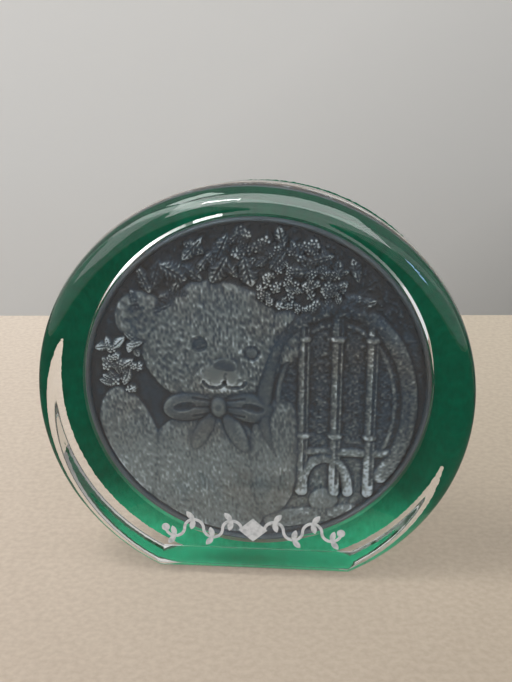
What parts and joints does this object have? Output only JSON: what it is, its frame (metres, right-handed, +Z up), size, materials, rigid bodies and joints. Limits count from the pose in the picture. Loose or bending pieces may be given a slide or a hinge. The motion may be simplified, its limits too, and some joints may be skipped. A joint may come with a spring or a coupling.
{
  "type": "glass paperweight",
  "caption": "Round clear-glass paperweight on a flat foot, with a pewter relief plaque set in its back behind the glass, a green backing and a white front print.",
  "frame": {"origin": "centre of the foot's plane, half-way through the total depth", "axes": "+Z up from the foot, +X across the face to the right as seen from the front, -Y out of the front face"},
  "size_m": [0.0888, 0.0198, 0.0839],
  "materials": {
    "clear_glass": "polished",
    "dark_pewter": "antiqued pewter, satin on the high points",
    "adhesive": "set adhesive",
    "green_cloth": "close woven cloth",
    "white_enamel": "printed enamel"
  },
  "bodies": {
    "root": {"glass_block": "clear_glass", "relief_plaque": "dark_pewter", "plaque_bond": "adhesive", "backing_sheet": "green_cloth", "front_ornament": "white_enamel"}
  },
  "joints": []
}
